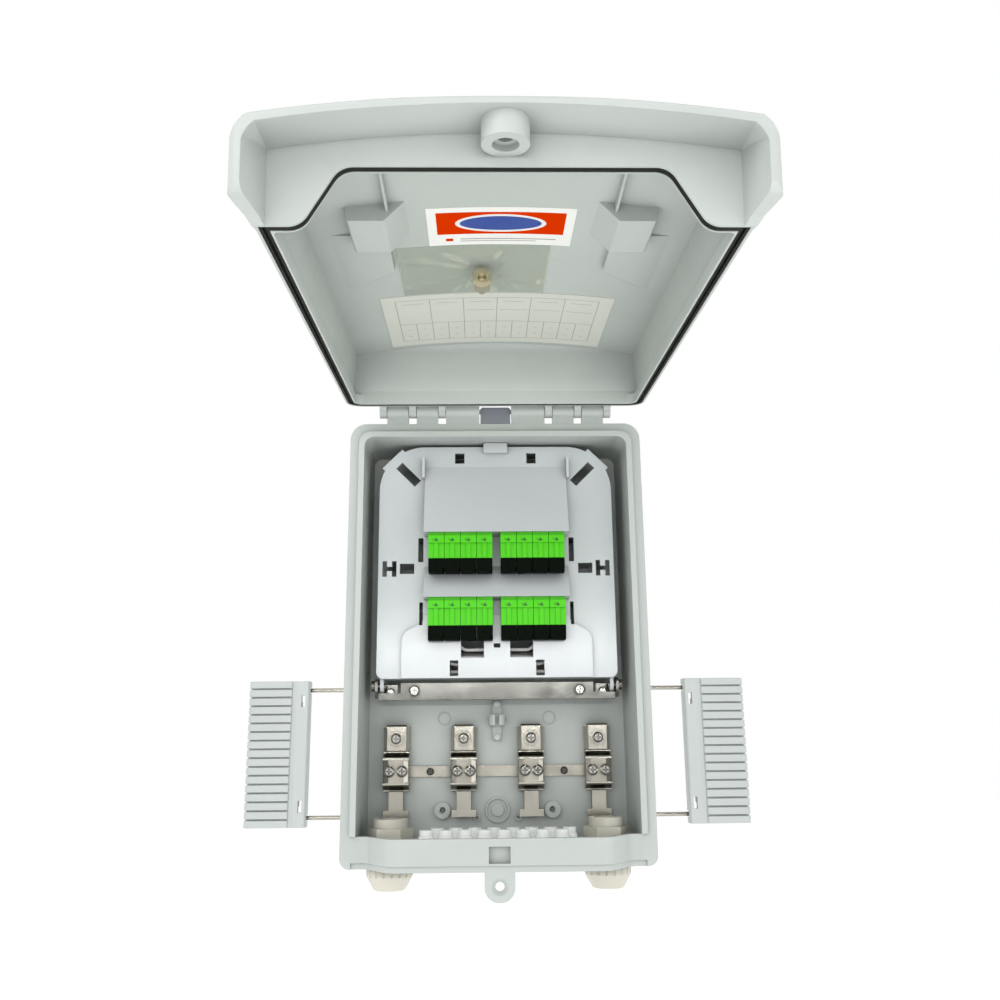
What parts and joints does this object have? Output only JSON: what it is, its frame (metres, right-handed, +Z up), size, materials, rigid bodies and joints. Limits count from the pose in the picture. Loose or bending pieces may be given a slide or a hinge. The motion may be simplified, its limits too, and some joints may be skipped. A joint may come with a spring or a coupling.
{
  "type": "fiber termination box",
  "caption": "Wall-mounted outdoor fibre termination box with hinged lid, side latches, swing-out adapter panel, cable clamps and glands.",
  "frame": {"origin": "centre of the flat back face that lies on the wall, midway across the box and at half the height of its sealing flange", "axes": "+X to the right seen from the front, +Y into the wall, +Z up; the lid is hinged at the top"},
  "size_m": [0.354, 0.4009, 0.392],
  "materials": {
    "adapter_green": "moulded, semi gloss",
    "bag_film": "clear film",
    "black_metal": "blackened",
    "buffer_white": "extruded tube",
    "cap_black": "moulded",
    "clear_cover": "clear moulded cover",
    "gland_cream": "moulded nylon",
    "grommet_white": "translucent rubber",
    "housing_grey": "fine moulded texture, satin",
    "key_metal": "plated",
    "latch_grey": "satin",
    "notice_print": "matt self-adhesive film",
    "panel_grey": "satin",
    "record_card": "matt self-adhesive film",
    "rubber_black": "foam rubber",
    "sleeve_clear": "shrink tube",
    "stainless": "pressed stainless sheet",
    "steel_wire": "bright drawn wire",
    "tray_grey": "satin"
  },
  "bodies": {
    "base": {"bar_screws": "stainless", "base_shell": "housing_grey", "cable_guide_clip": "panel_grey", "cable_saddle_1": "stainless", "cable_saddle_2": "stainless", "cable_saddle_3": "stainless", "cable_saddle_4": "stainless", "clamp_bar": "stainless", "clamp_base_1": "stainless", "clamp_base_2": "stainless", "clamp_base_3": "stainless", "clamp_base_4": "stainless", "clamp_screws": "stainless", "drop_grommets_back": "grommet_white", "drop_grommets_front": "grommet_white", "gland_body_left": "gland_cream", "gland_body_right": "gland_cream", "gland_cap_left": "gland_cream", "gland_cap_right": "gland_cream", "gland_nut_left": "gland_cream", "gland_nut_right": "gland_cream", "gland_seal_left": "rubber_black", "gland_seal_right": "rubber_black", "hinge_pins": "steel_wire", "pivot_bracket_left": "black_metal", "pivot_bracket_right": "black_metal", "rail_screws": "stainless", "splice_cover": "clear_cover", "splice_holder": "tray_grey", "splice_sleeves": "sleeve_clear", "splice_tray": "tray_grey", "strength_clamp_1": "stainless", "strength_clamp_2": "stainless", "strength_clamp_3": "stainless", "strength_clamp_4": "stainless", "tray_support_rail": "stainless"},
    "lid": {"lid_shell": "housing_grey", "lid_gasket": "rubber_black", "record_label": "record_card", "notice_label": "notice_print", "accessory_bag": "bag_film", "lock_key": "key_metal"},
    "adapter_panel": {"adapter_panel": "panel_grey", "panel_pivot_pins": "steel_wire", "pigtail_tubes": "buffer_white", "adapters_1": "adapter_green", "adapters_2": "adapter_green", "adapters_3": "adapter_green", "adapters_4": "adapter_green", "dust_caps_1": "cap_black", "dust_caps_2": "cap_black", "dust_caps_3": "cap_black", "dust_caps_4": "cap_black"},
    "bail_left": {"latch_bail_left": "steel_wire"},
    "bail_right": {"latch_bail_right": "steel_wire"},
    "lever_left": {"latch_lever_left": "latch_grey"},
    "lever_right": {"latch_lever_right": "latch_grey"}
  },
  "joints": [
    {"name": "lid_hinge", "type": "hinge", "parent": "base", "child": "lid", "pos_m": [0, -0.0496, 0.1675], "axis": [-1, 0, 0], "range_deg": [-85, 20]},
    {"name": "panel_hinge", "type": "hinge", "parent": "base", "child": "adapter_panel", "pos_m": [0, -0.027, -0.0345], "axis": [1, 0, 0], "range_deg": [0, 95]},
    {"name": "bail_swing_right", "type": "hinge", "parent": "base", "child": "bail_right", "pos_m": [0.1048, -0.038, -0.0812], "axis": [0, 0, 1], "range_deg": [-90, 8]},
    {"name": "bail_swing_left", "type": "hinge", "parent": "base", "child": "bail_left", "pos_m": [-0.1048, -0.038, -0.0812], "axis": [0, 0, -1], "range_deg": [-90, 8]},
    {"name": "lever_turn_right", "type": "hinge", "parent": "bail_right", "child": "lever_right", "pos_m": [0.1425, -0.0295, -0.0812], "axis": [0, 0, -1], "range_deg": [-180, 10]},
    {"name": "lever_turn_left", "type": "hinge", "parent": "bail_left", "child": "lever_left", "pos_m": [-0.1425, -0.0295, -0.0812], "axis": [0, 0, 1], "range_deg": [-180, 10]}
  ]
}
